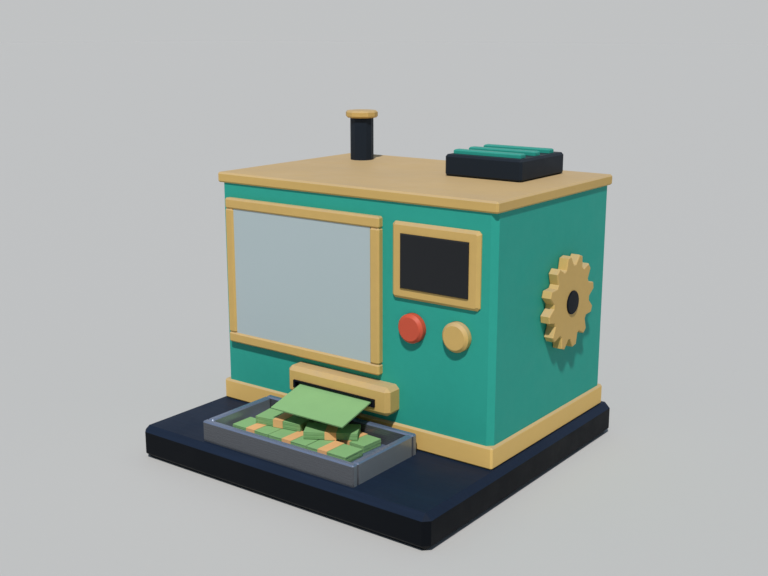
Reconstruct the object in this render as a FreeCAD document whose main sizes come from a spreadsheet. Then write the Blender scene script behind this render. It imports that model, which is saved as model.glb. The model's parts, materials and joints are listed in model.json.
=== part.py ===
import FreeCAD, Part
import math
import os
import Sketcher
from FreeCAD import Placement, Rotation, Vector

# Table-top machine that feeds slips of paper from a slot when the large side gear is turned.
# Lengths are in millimetres. The origin is the centre of the base plate's underside,
# +Z is up, the front faces -Y and the side gear is on the +X side.

# Driving dimensions
# Heights on the cabinet are measured from the top of the plinth, depths from the cabinet's front.
SIZES = {
    # Base plate and plinth
    "base_side": 300,
    "base_height": 29,
    "base_bevel": 5,
    "plinth_height": 18.5,
    "plinth_lip": 2,
    "plinth_bevel": 1.5,
    # Cabinet
    "porch_depth": 98,
    "body_width": 284,
    "body_depth": 190,
    "body_height": 182.5,
    "body_bevel": 4.4,
    "wall": 5,
    # Rear panel and its seat in the back wall
    "panel_side_margin": 20,
    "panel_end_margin": 10.5,
    "panel_thickness": 2.5,
    "panel_ledge": 10,
    "panel_gap": 0.3,
    "panel_screw_radius": 1.5,
    "panel_screw_length": 6,
    "panel_screw_head_radius": 2.8,
    "panel_screw_head_height": 1.8,
    "panel_screw_inset": 5,
    "screw_clearance": 0.1,
    # Roof, chimney and vent
    "roof_height": 9,
    "roof_overhang": 2,
    "roof_bevel": 1.4,
    "chimney_inset": 41.8,
    "chimney_setback": 150.5,
    "chimney_sides": 12,
    "chimney_radius": 11.3,
    "chimney_height": 40.3,
    "chimney_bore_radius": 6,
    "chimney_spigot_radius": 9,
    "cap_radius": 15.5,
    "cap_height": 6.7,
    "cap_bevel": 1.5,
    "cap_spigot_length": 5,
    "vent_inset": 72.75,
    "vent_setback": 133.9,
    "vent_side": 75.3,
    "vent_height": 18.7,
    "vent_wall": 3,
    "vent_bevel": 2,
    "slat_shift": 1.25,
    "slat_length": 66,
    "slat_width": 8,
    "slat_height": 3.5,
    "slat_pitch": 24.5,
    "slat_bevel": 1,
    # Window
    "window_inset": 9.4,
    "window_gap": 11,
    "window_sill": 38.5,
    "window_height": 131.5,
    "window_bar": 9.3,
    "window_proud": 5.7,
    "window_bevel": 1.4,
    "pane_recess": 1.4,
    "pane_ledge": 6,
    # Screen
    "screen_inset": 52.8,
    "screen_level": 137.2,
    "bezel_width": 81.6,
    "bezel_height": 61.6,
    "bezel_proud": 3.5,
    "bezel_corner": 2.4,
    "bezel_bevel": 2.4,
    "lens_width": 63.4,
    "lens_height": 44,
    "lens_proud": 1.5,
    "lens_thickness": 4,
    "lens_bevel": 0.8,
    "board_margin": 6,
    "board_thickness": 1.6,
    # Push buttons, their bracket and switches
    "red_button_inset": 74,
    "tan_button_inset": 31.9,
    "button_level": 83.5,
    "button_radius": 11.95,
    "button_proud": 6.5,
    "button_bevel": 2.3,
    "button_flange_side": 28,
    "button_flange_thickness": 2.5,
    "button_stem_side": 5,
    "button_stem_reach": 25,
    "button_travel": 3,
    "button_clearance": 0.3,
    "button_stop_gap": 0.2,
    "spring_radius": 5,
    "spring_wire_radius": 0.5,
    "spring_turns": 6,
    "spring_turn_sides": 8,
    "spring_wire_sides": 4,
    "bracket_depth": 19,
    "bracket_height": 36,
    "bracket_width": 76,
    "bracket_thickness": 2,
    "spacer_side": 5,
    "spacer_length": 9,
    "spacer_spread": 10,
    "switch_board_width": 72,
    "switch_board_height": 32,
    "switch_side": 6,
    "switch_body_height": 3.5,
    "switch_tip_side": 3.5,
    # Output block and slot liner
    "block_width": 108.6,
    "block_level": 8.8,
    "block_height": 24.2,
    "block_proud": 15.5,
    "block_bevel": 3.5,
    "block_front_wall": 4,
    "block_wall": 3,
    "slot_shift": 2.2,
    "slot_level": 18.7,
    "liner_width": 87,
    "liner_height": 6.6,
    "liner_proud": 1.7,
    "liner_side_wall": 2,
    "liner_wall": 1,
    "slot_pass_width": 82,
    "slot_pass_drop": 7.4,
    "slot_pass_rise": 9.6,
    # Paper slip
    "note_shift": 0.8,
    "note_width": 76,
    "note_length": 150,
    "note_thickness": 1.2,
    "note_slope": 15.4,
    "note_reach": 53,
    # Side gear
    "gear_setback": 110,
    "gear_level": 94.5,
    "gear_gap": 0.5,
    "gear_thickness": 8.5,
    "gear_teeth": 12,
    "gear_root_radius": 31.7,
    "tooth_foot_width": 15.7,
    "tooth_foot_reach": 28,
    "tooth_tip_width": 5.8,
    "tooth_tip_reach": 39.7,
    "gear_bevel": 0.7,
    "gear_rest_angle": 10.7,
    "hub_radius": 10,
    "hub_proud": 1.3,
    "hub_bevel": 0.6,
    # Drive shaft and gear train
    "drive_shaft_radius": 4.5,
    "shaft_bush_side": 16,
    "shaft_bush_reach": 2,
    "running_clearance": 0.05,
    "fit_clearance": 0.05,
    "train_gear_thickness": 8,
    "train_gap": 4,
    "gear_module": 2,
    "pressure_angle": 20,
    "gear_backlash": 0.15,
    "drive_gear_teeth": 30,
    "idler_gear_teeth": 27,
    "roller_gear_teeth": 15,
    "idler_axle_radius": 3,
    "idler_collar_side": 9,
    "idler_head_thickness": 2,
    "gear_side_play": 0.3,
    # Print frame and rollers
    "frame_span": 96,
    "frame_thickness": 4,
    "frame_edge": 14,
    "frame_left_height": 66,
    "frame_foot_width": 12,
    "nip_setback": 30,
    "nip_gap": 0.1,
    "feed_roller_radius": 12,
    "pinch_roller_radius": 8,
    "roller_length": 84,
    "roller_shaft_radius": 4,
    "roller_bush_side": 12,
    "roller_bush_reach": 1.5,
    "shaft_overhang": 2,
    # Paper chute
    "chute_start": 14,
    "chute_length": 76,
    "chute_thickness": 2,
    "chute_lip_height": 4,
    "chute_clearance": 0.4,
    "chute_side_gap": 0.1,
    # Tray
    "tray_left_reach": 81.4,
    "tray_height": 17.4,
    "tray_front_gap": 7.5,
    "tray_wall": 6,
    "tray_floor_thickness": 3,
    "tray_bevel": 1.2,
    "tray_left_room": 3.9,
    "tray_right_room": 21,
    "tray_front_room": 18.8,
    "tray_back_room": 5.5,
    # Bundles of slips and their bands
    "bundle_length": 40.4,
    "top_bundle_length": 44.5,
    "bundle_width": 21.8,
    "bundle_height": 6,
    "bundle_bevel": 0.6,
    "bundle_column_gap": 0.5,
    "bundle_row_gap": 2.7,
    "band_width": 9.5,
    "band_thickness": 0.3,
}

# Where each bundle lies: column, row and layer, then how far it has slipped along X and Y, its
# turn in degrees, and how far its band sits from its middle.
BUNDLES = {
    "bundle_front_left": (0, 0, 0, 0, 0, 0, 0.5),
    "bundle_front_middle": (1, 0, 0, 0, 0, 0, -0.5),
    "bundle_front_right": (2, 0, 0, 0, 0, 0, -3.5),
    "bundle_back_right": (2, 1, 0, -2.2, 3.1, -3.5, 0.5),
    "bundle_back_left": (0, 1, 0, 14.5, 0, 0, 0),
    "bundle_top_left": (0, 1, 1, 14.8, -8.7, 8.7, 0.5),
    "bundle_top_middle": (1, 1, 1, 23.4, -5.7, 31, 0),
}
COLUMNS = 3
ROWS = 2
LENGTHS = ("dim.bundle_length", "dim.top_bundle_length")

# Longest distance in millimetres at which two places count as the same
SAME_PLACE = 1e-3

doc = FreeCAD.newDocument("money_machine")
dim = doc.addObject("Spreadsheet::Sheet", "dim")
for label, (column, row, layer, slip_x, slip_y, turn, band) in BUNDLES.items():
    SIZES[f"{label}_slip_x"] = slip_x
    SIZES[f"{label}_slip_y"] = slip_y
    SIZES[f"{label}_turn"] = turn
    SIZES[f"{label}_band"] = band
for row, (alias, value) in enumerate(SIZES.items(), start=1):
    dim.set(f"A{row}", alias)
    dim.set(f"B{row}", str(value))
    dim.setAlias(f"B{row}", alias)
doc.recompute()

# Places that several pieces share, as expressions on the sheet
BASE_EDGE = "(dim.base_side / 2)"
BASE_TOP = "dim.base_height"
FLOOR = "(dim.base_height + dim.plinth_height)"
ROOF = f"({FLOOR} + dim.body_height)"
ROOF_TOP = f"({ROOF} + dim.roof_height)"
SIDE = "(dim.body_width / 2)"
FRONT = "(dim.porch_depth - dim.base_side / 2)"
BACK = f"({FRONT} + dim.body_depth)"
INSIDE_FRONT = f"({FRONT} + dim.wall)"
BLOCK_FRONT = f"({FRONT} - dim.block_proud)"
SLOT = f"({FLOOR} + dim.slot_level)"
SLOT_X = "(-dim.slot_shift)"
BUTTONS = f"({FLOOR} + dim.button_level)"
SCREEN = f"({FLOOR} + dim.screen_level)"
SCREEN_X = f"({SIDE} - dim.screen_inset)"
BUTTON_X = {name: f"({SIDE} - dim.{name}_button_inset)" for name in ("red", "tan")}
WINDOW_LEFT = f"(dim.window_inset - {SIDE})"
WINDOW_RIGHT = f"({SCREEN_X} - dim.bezel_width / 2 - dim.window_gap)"
WINDOW_SILL = f"({FLOOR} + dim.window_sill)"
WINDOW_HEAD = f"({WINDOW_SILL} + dim.window_height)"
CHIMNEY_X = f"(dim.chimney_inset - {SIDE})"
VENT_X = f"({SIDE} - dim.vent_inset)"
SHAFT_Y = f"({FRONT} + dim.gear_setback)"
SHAFT_Z = f"({FLOOR} + dim.gear_level)"
NIP_Y = f"({FRONT} + dim.nip_setback)"
FRAME_INSIDE = "(dim.frame_span / 2)"
FRAME_OUTSIDE = f"({FRAME_INSIDE} + dim.frame_thickness)"
TRAIN_X = f"({FRAME_OUTSIDE} + dim.train_gap)"
TRAIN_END = f"({TRAIN_X} + dim.train_gear_thickness)"
AXES = {"x": Vector(1, 0, 0), "y": Vector(0, 1, 0), "z": Vector(0, 0, 1)}
PIECES = []


def size(alias):
    """Value of one driving dimension."""
    return float(dim.get(alias))


def slip_height(y):
    """Height of the slip's middle plane at a depth y."""
    return f"({SLOT} + tan(dim.note_slope) * ({y} - ({BLOCK_FRONT})))"


def bind(item, **places):
    """Tie properties to expressions; a double underscore stands for a dot."""
    for path, expression in places.items():
        item.setExpression(path.replace("__", "."), str(expression))


def place(item, x="0", y="0", z="0"):
    """Tie the origin of a piece to expressions."""
    bind(item, Placement__Base__x=x, Placement__Base__y=y, Placement__Base__z=z)


def piece(item):
    """Mark an object as one of the pieces to be written."""
    PIECES.append(item)
    return item


def centred(middle, width, inset="0"):
    """Pair of expressions about a middle, drawn in by an inset at both ends."""
    half = f"({width} / 2 - {inset})"
    return (f"{middle} - {half}", f"{middle} + {half}")


# Solids from primitives


def box(name, x, y, z):
    """Box between pairs of expressions along each axis."""
    item = doc.addObject("Part::Box", name)
    place(item, x[0], y[0], z[0])
    bind(item, Length=f"{x[1]} - ({x[0]})", Width=f"{y[1]} - ({y[0]})", Height=f"{z[1]} - ({z[0]})")
    return item


def along(item, axis, span, x, y, z):
    """Lay a piece that stands on Z along another axis, from one expression to another."""
    item.Placement = Placement(Vector(), Rotation(AXES["z"], AXES[axis]))
    start = {"x": x, "y": y, "z": z}
    start[axis] = span[0]
    place(item, **start)
    bind(item, Height=f"{span[1]} - ({span[0]})")
    return item


def rod(name, axis, span, radius, x="0", y="0", z="0"):
    """Cylinder along an axis."""
    item = doc.addObject("Part::Cylinder", name)
    bind(item, Radius=radius)
    return along(item, axis, span, x, y, z)


def prism(name, sides, axis, span, radius, x="0", y="0", z="0"):
    """Regular prism along an axis."""
    item = doc.addObject("Part::Prism", name)
    bind(item, Polygon=sides, Circumradius=radius)
    return along(item, axis, span, x, y, z)


def fuse(name, parts):
    """Union of several solids."""
    item = doc.addObject("Part::MultiFuse", name)
    item.Shapes = parts
    return item


def cut(name, base, tools):
    """A solid with others taken out of it."""
    item = doc.addObject("Part::Cut", name)
    item.Base = base
    item.Tool = tools[0] if len(tools) == 1 else fuse(name + "_tools", tools)
    return item


def group(name, parts):
    """Separate solids that share one node."""
    item = doc.addObject("Part::Compound", name)
    item.Links = parts
    return item


# Solids from sketches


def sketch_on(body, role, lift):
    """Sketch on one of the body's own planes, lifted along the plane's normal."""
    plane = next(item for item in body.Origin.OriginFeatures if item.Role == role)
    sketch = body.newObject("Sketcher::SketchObject", body.Name + "_sketch")
    sketch.AttachmentSupport = (plane, [""])
    sketch.MapMode = "FlatFace"
    bind(sketch, AttachmentOffset__Base__z=lift)
    return sketch


def draw_outline(sketch, corners):
    """Closed outline whose corners are pairs of expressions."""
    count = len(corners)
    turns = [2 * math.pi * index / count for index in range(count)]
    ring = [Vector(math.cos(turn), math.sin(turn), 0) for turn in turns]
    for index in range(count):
        sketch.addGeometry(Part.LineSegment(ring[index], ring[(index + 1) % count]), False)
    for index in range(count):
        sketch.addConstraint(Sketcher.Constraint("Coincident", index, 2, (index + 1) % count, 1))
    for index, corner in enumerate(corners):
        for kind, distance in zip(("DistanceX", "DistanceY"), corner):
            number = sketch.addConstraint(Sketcher.Constraint(kind, -1, 1, index, 1, 1.0))
            sketch.setExpression(f"Constraints[{number}]", distance)


def padded(name, role, corners, lift, length, reverse=False):
    """Body made by one pad of an outline."""
    body = doc.addObject("PartDesign::Body", name)
    sketch = sketch_on(body, role, lift)
    draw_outline(sketch, corners)
    pad = body.newObject("PartDesign::Pad", name + "_pad")
    pad.Profile = sketch
    pad.Reversed = reverse
    bind(pad, Length=length)
    body.Tip = pad
    return body


def block(name, x, y, z):
    """Body made by one upright pad of a rectangle."""
    corners = [(x[0], y[0]), (x[1], y[0]), (x[1], y[1]), (x[0], y[1])]
    return padded(name, "XY_Plane", corners, z[0], f"{z[1]} - ({z[0]})")


def turned(name, axis, corners):
    """Body of revolution about X, Y or Z: corners are (place along the axis, radius)."""
    body = doc.addObject("PartDesign::Body", name)
    if axis == "z":
        sketch = sketch_on(body, "XZ_Plane", "0")
    else:
        sketch = sketch_on(body, "XY_Plane", "0")
    if axis == "x":
        draw_outline(sketch, corners)
    else:
        draw_outline(sketch, [(radius, along) for along, radius in corners])
    revolution = body.newObject("PartDesign::Revolution", name + "_turn")
    revolution.Profile = sketch
    revolution.ReferenceAxis = (sketch, ["H_Axis" if axis == "x" else "V_Axis"])
    revolution.Angle = 360
    body.Tip = revolution
    return body


def side_edges(body, sides):
    """Names of the edges that lie whole on the named sides of the body, such as '+z -y'."""
    doc.recompute()
    shape = body.Tip.Shape
    limits = shape.BoundBox
    names = []
    for side in sides.split():
        letter = side[1].upper()
        level = getattr(limits, letter + ("Max" if side[0] == "+" else "Min"))
        for number, edge in enumerate(shape.Edges, start=1):
            reach = edge.BoundBox
            low = getattr(reach, letter + "Min")
            high = getattr(reach, letter + "Max")
            if max(abs(low - level), abs(high - level)) < SAME_PLACE:
                names.append(f"Edge{number}")
    return sorted(set(names))


def long_edges(body, axis):
    """Names of the straight edges that run along an axis."""
    doc.recompute()
    names = []
    for number, edge in enumerate(body.Tip.Shape.Edges, start=1):
        ends = edge.Vertexes
        if len(ends) == 2 and (ends[1].Point - ends[0].Point).cross(AXES[axis]).Length < SAME_PLACE:
            names.append(f"Edge{number}")
    return names


def bevel(body, width, names):
    """Chamfer named edges of the body's last feature."""
    base = body.Tip
    feature = body.newObject("PartDesign::Chamfer", body.Name + "_bevel")
    feature.Base = (base, names)
    bind(feature, Size=width)
    body.Tip = feature
    return body


# Base plate and plinth


def make_base():
    """Base plate and the plinth on it."""
    span = (f"-{BASE_EDGE}", BASE_EDGE)
    plate = block("base_plate", span, span, ("0", BASE_TOP))
    piece(bevel(plate, "dim.base_bevel", side_edges(plate, "+x -x +y -y")))
    lip = "dim.plinth_lip"
    plinth = block(
        "plinth",
        (f"-({SIDE} + {lip})", f"{SIDE} + {lip}"),
        (f"{FRONT} - {lip}", f"{BACK} + {lip}"),
        (BASE_TOP, FLOOR),
    )
    piece(bevel(plinth, "dim.plinth_bevel", side_edges(plinth, "+x -x +y -y")))


# Cabinet


def panel_screw_places():
    """Where the rear panel's screws stand, as seen from behind."""
    across = f"({SIDE} - dim.panel_side_margin - dim.panel_screw_inset)"
    low = f"({FLOOR} + dim.panel_end_margin + dim.panel_screw_inset)"
    high = f"({ROOF} - dim.panel_end_margin - dim.panel_screw_inset)"
    return [(sign + across, z) for sign in ("-", "") for z in (low, high)]


def make_cabinet():
    """Shell with its openings, rear panel and screws."""
    outer = (f"-{SIDE}", SIDE)
    shell = block("shell_blank", outer, (FRONT, BACK), (FLOOR, ROOF))
    bevel(shell, "dim.body_bevel", long_edges(shell, "z"))
    inside = (f"-({SIDE} - dim.wall)", f"{SIDE} - dim.wall")
    through_front = (FRONT, INSIDE_FRONT)
    hollow = box("shell_hollow", inside, (INSIDE_FRONT, f"{BACK} - dim.wall"), (FLOOR, ROOF))
    ledge = "(dim.window_bar + dim.pane_ledge)"
    window = box(
        "shell_window",
        (f"{WINDOW_LEFT} + {ledge}", f"{WINDOW_RIGHT} - {ledge}"),
        through_front,
        (f"{WINDOW_SILL} + {ledge}", f"{WINDOW_HEAD} - {ledge}"),
    )
    display = box(
        "shell_display_hole",
        centred(SCREEN_X, "dim.lens_width"),
        through_front,
        centred(SCREEN, "dim.lens_height"),
    )
    slot = box(
        "shell_slot",
        centred(SLOT_X, "dim.slot_pass_width"),
        through_front,
        (f"{SLOT} - dim.slot_pass_drop", f"{SLOT} + dim.slot_pass_rise"),
    )
    reach = "(dim.button_radius + dim.button_clearance)"
    holes = [
        rod(f"shell_hole_{name}", "y", through_front, reach, x=x, z=BUTTONS)
        for name, x in BUTTON_X.items()
    ]
    bush_hole = box(
        "shell_bush_hole",
        (f"{SIDE} - dim.wall", SIDE),
        centred(SHAFT_Y, "dim.shaft_bush_side", "(-dim.fit_clearance)"),
        centred(SHAFT_Z, "dim.shaft_bush_side", "(-dim.fit_clearance)"),
    )
    seat_x = f"({SIDE} - dim.panel_side_margin)"
    seat_z = (f"{FLOOR} + dim.panel_end_margin", f"{ROOF} - dim.panel_end_margin")
    seat_y = f"({BACK} - dim.panel_thickness)"
    seat = box("panel_seat", (f"-{seat_x}", seat_x), (seat_y, BACK), seat_z)
    rim = "dim.panel_ledge"
    opening = box(
        "panel_opening",
        (f"-({seat_x} - {rim})", f"{seat_x} - {rim}"),
        (f"{BACK} - dim.wall", BACK),
        (f"{seat_z[0]} + {rim}", f"{seat_z[1]} - {rim}"),
    )
    gap = "dim.panel_gap"
    panel = box(
        "panel_blank",
        (f"-({seat_x} - {gap})", f"{seat_x} - {gap}"),
        (seat_y, BACK),
        (f"{seat_z[0]} + {gap}", f"{seat_z[1]} - {gap}"),
    )
    shank = "dim.panel_screw_radius"
    wall_holes = []
    panel_holes = []
    screws = []
    for number, (x, z) in enumerate(panel_screw_places(), start=1):
        at = {"x": x, "z": z}
        wide = f"{shank} + dim.screw_clearance"
        wall_holes.append(rod(f"wall_hole_{number}", "y", (f"{BACK} - dim.wall", seat_y), wide, **at))
        panel_holes.append(rod(f"panel_hole_{number}", "y", (seat_y, BACK), wide, **at))
        stem = rod(
            f"panel_screw_stem_{number}", "y", (f"{BACK} - dim.panel_screw_length", BACK), shank, **at
        )
        head_span = (BACK, f"{BACK} + dim.panel_screw_head_height")
        cap = prism(
            f"panel_screw_head_{number}", "6", "y", head_span, "dim.panel_screw_head_radius", **at
        )
        screws.append(fuse(f"panel_screw_{number}", [stem, cap]))
    tools = [hollow, window, display, slot, bush_hole, seat, opening]
    piece(cut("body_shell", shell, tools + holes + wall_holes))
    piece(cut("rear_panel", panel, panel_holes))
    piece(group("rear_screws", screws))


# Roof, chimney and vent


def make_roof():
    """Roof plate with the chimney and the slatted vent box on it."""
    over = "dim.roof_overhang"
    roof = block(
        "roof_blank",
        (f"-({SIDE} + {over})", f"{SIDE} + {over}"),
        (f"{FRONT} - {over}", f"{BACK} + {over}"),
        (ROOF, ROOF_TOP),
    )
    bevel(roof, "dim.roof_bevel", side_edges(roof, "+x -x +y -y"))
    at = {"x": CHIMNEY_X, "y": f"{FRONT} + dim.chimney_setback"}
    sides = "dim.chimney_sides"
    spigot = "dim.chimney_spigot_radius"
    through = (ROOF, ROOF_TOP)
    socket = prism("chimney_socket", sides, "z", through, f"{spigot} + dim.fit_clearance", **at)
    piece(cut("roof_plate", roof, [socket]))
    top = f"({ROOF_TOP} + dim.chimney_height)"
    stack = prism("chimney_stack", sides, "z", (ROOF_TOP, top), "dim.chimney_radius", **at)
    foot = prism("chimney_spigot", sides, "z", through, spigot, **at)
    bore = prism("chimney_bore", sides, "z", (ROOF, top), "dim.chimney_bore_radius", **at)
    piece(cut("chimney_tube", fuse("chimney_outside", [stack, foot]), [bore]))
    lid = prism("cap_prism", sides, "z", (top, f"{top} + dim.cap_height"), "dim.cap_radius", **at)
    doc.recompute()
    cap = doc.addObject("Part::Chamfer", "cap_bevelled")
    cap.Base = lid
    width = size("cap_bevel")
    level = [
        number
        for number, edge in enumerate(lid.Shape.Edges, start=1)
        if edge.BoundBox.ZLength < SAME_PLACE
    ]
    cap.Edges = [(number, width, width) for number in level]
    plug = prism(
        "cap_spigot",
        sides,
        "z",
        (f"{top} - dim.cap_spigot_length", f"{top} + dim.cap_bevel"),
        "dim.chimney_bore_radius - dim.fit_clearance",
        **at,
    )
    piece(fuse("chimney_cap", [cap, plug]))
    middle = f"{FRONT} + dim.vent_setback"
    vent_top = f"({ROOF_TOP} + dim.vent_height)"
    vent = block(
        "vent_blank",
        centred(VENT_X, "dim.vent_side"),
        centred(middle, "dim.vent_side"),
        (ROOF_TOP, vent_top),
    )
    bevel(vent, "dim.vent_bevel", side_edges(vent, "+x -x +y -y"))
    room = box(
        "vent_room",
        centred(VENT_X, "dim.vent_side", "dim.vent_wall"),
        centred(middle, "dim.vent_side", "dim.vent_wall"),
        (ROOF_TOP, f"{vent_top} - dim.vent_wall"),
    )
    piece(cut("vent_box", vent, [room]))
    for step, name in ((-1, "front"), (0, "middle"), (1, "back")):
        slat = block(
            f"vent_slat_{name}",
            centred(f"{VENT_X} - dim.slat_shift", "dim.slat_length"),
            centred(f"{middle} + {step} * dim.slat_pitch", "dim.slat_width"),
            (vent_top, f"{vent_top} + dim.slat_height"),
        )
        piece(bevel(slat, "dim.slat_bevel", side_edges(slat, "+z")))


# Window


def make_window():
    """Four bars on the cabinet's front and the pane between them."""
    left = WINDOW_LEFT
    right = WINDOW_RIGHT
    sill = WINDOW_SILL
    head = WINDOW_HEAD
    bar = "dim.window_bar"
    proud = (f"{FRONT} - dim.window_proud", FRONT)
    bars = {
        "window_top_rail": ((left, right), (f"{head} - {bar}", head)),
        "window_bottom_rail": ((left, right), (sill, f"{sill} + {bar}")),
        "window_left_stile": ((left, f"{left} + {bar}"), (f"{sill} + {bar}", f"{head} - {bar}")),
        "window_right_stile": ((f"{right} - {bar}", right), (f"{sill} + {bar}", f"{head} - {bar}")),
    }
    for name, (x, z) in bars.items():
        item = block(name, x, proud, z)
        edges = side_edges(item, "-y") + long_edges(item, "y")
        piece(bevel(item, "dim.window_bevel", edges))
    edge = f"({bar} + dim.fit_clearance)"
    piece(
        box(
            "window_pane",
            (f"{left} + {edge}", f"{right} - {edge}"),
            (f"{FRONT} - dim.window_proud + dim.pane_recess", FRONT),
            (f"{sill} + {edge}", f"{head} - {edge}"),
        )
    )


# Screen


def make_screen():
    """Bezel, raised glass and the display behind it."""
    bezel_front = f"({FRONT} - dim.bezel_proud)"
    bezel = block(
        "bezel_blank",
        centred(SCREEN_X, "dim.bezel_width"),
        (bezel_front, FRONT),
        centred(SCREEN, "dim.bezel_height"),
    )
    bevel(bezel, "dim.bezel_corner", long_edges(bezel, "y"))
    bevel(bezel, "dim.bezel_bevel", side_edges(bezel, "-y"))
    opening = box(
        "bezel_opening",
        centred(SCREEN_X, "dim.lens_width"),
        (bezel_front, FRONT),
        centred(SCREEN, "dim.lens_height"),
    )
    piece(cut("screen_bezel", bezel, [opening]))
    lens_front = f"({bezel_front} - dim.lens_proud)"
    lens_back = f"({lens_front} + dim.lens_thickness)"
    inset = "dim.fit_clearance"
    lens = block(
        "screen_lens",
        centred(SCREEN_X, "dim.lens_width", inset),
        (lens_front, lens_back),
        centred(SCREEN, "dim.lens_height", inset),
    )
    piece(bevel(lens, "dim.lens_bevel", side_edges(lens, "-y")))
    panel = box(
        "display_panel",
        centred(SCREEN_X, "dim.lens_width", inset),
        (lens_back, INSIDE_FRONT),
        centred(SCREEN, "dim.lens_height", inset),
    )
    board = box(
        "display_board",
        centred(SCREEN_X, "dim.lens_width", "(-dim.board_margin)"),
        (INSIDE_FRONT, f"{INSIDE_FRONT} + dim.board_thickness"),
        centred(SCREEN, "dim.lens_height", "(-dim.board_margin)"),
    )
    piece(fuse("display_module", [panel, board]))


# Push buttons


def make_buttons():
    """Two sprung buttons, their bracket, and the switches that they press."""
    bracket_back = f"({INSIDE_FRONT} + dim.bracket_depth)"
    plate = "dim.bracket_thickness"
    bracket_front = f"({bracket_back} - {plate})"
    low = f"({BUTTONS} - dim.bracket_height / 2)"
    high = f"({BUTTONS} + dim.bracket_height / 2)"
    middle = f"(({BUTTON_X['red']} + {BUTTON_X['tan']}) / 2)"
    channel = padded(
        "bracket_channel",
        "YZ_Plane",
        [
            (INSIDE_FRONT, low),
            (bracket_back, low),
            (bracket_back, high),
            (INSIDE_FRONT, high),
            (INSIDE_FRONT, f"{high} - {plate}"),
            (bracket_front, f"{high} - {plate}"),
            (bracket_front, f"{low} + {plate}"),
            (INSIDE_FRONT, f"{low} + {plate}"),
        ],
        f"{middle} - dim.bracket_width / 2",
        "dim.bracket_width",
    )
    board_front = f"({bracket_back} + dim.spacer_length)"
    spacers = [
        box(
            f"bracket_spacer_{name}",
            centred(middle, "dim.spacer_side"),
            (bracket_front, board_front),
            centred(f"{BUTTONS} {sign} dim.spacer_spread", "dim.spacer_side"),
        )
        for name, sign in (("low", "-"), ("high", "+"))
    ]
    flange = (
        f"({INSIDE_FRONT} + dim.button_stop_gap)",
        f"({INSIDE_FRONT} + dim.button_stop_gap + dim.button_flange_thickness)",
    )
    stem_end = f"({FRONT} + dim.button_stem_reach)"
    radius = "dim.button_radius"
    face = "-dim.button_proud"
    guides = []
    switches = []
    for name, x in BUTTON_X.items():
        cap = turned(
            f"{name}_button_cap",
            "y",
            [
                (face, "0"),
                (face, f"{radius} - dim.button_bevel"),
                (f"{face} + dim.button_bevel", radius),
                ("dim.wall + dim.button_stop_gap", radius),
                ("dim.wall + dim.button_stop_gap", "0"),
            ],
        )
        place(cap, x, FRONT, BUTTONS)
        wide = "dim.button_flange_side"
        plate_box = box(f"{name}_button_flange", centred(x, wide), flange, centred(BUTTONS, wide))
        thin = "dim.button_stem_side"
        stem_span = (flange[1], stem_end)
        stem = box(f"{name}_button_stem", centred(x, thin), stem_span, centred(BUTTONS, thin))
        piece(fuse(f"{name}_button", [cap, plate_box, stem]))
        guides.append(
            box(
                f"bracket_guide_{name}",
                centred(x, thin, "(-dim.button_clearance)"),
                (bracket_front, bracket_back),
                centred(BUTTONS, thin, "(-dim.button_clearance)"),
            )
        )
        tip = f"({stem_end} + dim.button_travel + dim.button_stop_gap)"
        case_front = f"({board_front} - dim.switch_body_height)"
        case = box(
            f"{name}_switch_case",
            centred(x, "dim.switch_side"),
            (case_front, board_front),
            centred(BUTTONS, "dim.switch_side"),
        )
        plunger = box(
            f"{name}_switch_tip",
            centred(x, "dim.switch_tip_side"),
            (tip, case_front),
            centred(BUTTONS, "dim.switch_tip_side"),
        )
        switches.append(fuse(f"{name}_switch", [case, plunger]))
        make_spring(name, x, flange[1], bracket_front)
    piece(cut("button_bracket", fuse("bracket_outside", [channel] + spacers), guides))
    piece(
        box(
            "switch_board",
            centred(middle, "dim.switch_board_width"),
            (board_front, f"{board_front} + dim.board_thickness"),
            centred(BUTTONS, "dim.switch_board_height"),
        )
    )
    piece(group("push_switches", switches))


def make_spring(name, x, start, end):
    """Coil spring round a button's stem, from the button's flange to the bracket."""
    wire = "dim.spring_wire_radius"
    near = f"({start} + {wire} + dim.fit_clearance)"
    frame = doc.addObject("Part::Polygon", f"{name}_spring_path")
    sides = int(size("spring_turn_sides"))
    count = int(size("spring_turns")) * sides
    length = size("bracket_depth") - size("bracket_thickness") - size("button_stop_gap")
    length -= size("button_flange_thickness") + 2 * (size("spring_wire_radius") + size("fit_clearance"))
    radius = size("spring_radius")
    points = []
    for number in range(count + 1):
        turn = 2 * math.pi * number / sides
        points.append(Vector(radius * math.cos(turn), radius * math.sin(turn), length * number / count))
    frame.Nodes = points
    section = doc.addObject("Part::RegularPolygon", f"{name}_spring_wire")
    section.Placement = Placement(points[0], Rotation(AXES["z"], points[1] - points[0]))
    bind(section, Polygon="dim.spring_wire_sides", Circumradius=wire)
    spring = doc.addObject("Part::Sweep", f"{name}_button_spring")
    spring.Sections = [section]
    doc.recompute()
    spring.Spine = (frame, [f"Edge{number}" for number in range(1, count + 1)])
    spring.Solid = True
    spring.Frenet = False
    spring.Transition = "Right corner"
    spring.Placement = Placement(Vector(), Rotation(AXES["x"], -90))
    place(spring, x, near, BUTTONS)
    piece(spring)


# Output block, slot liner and paper slip


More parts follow.
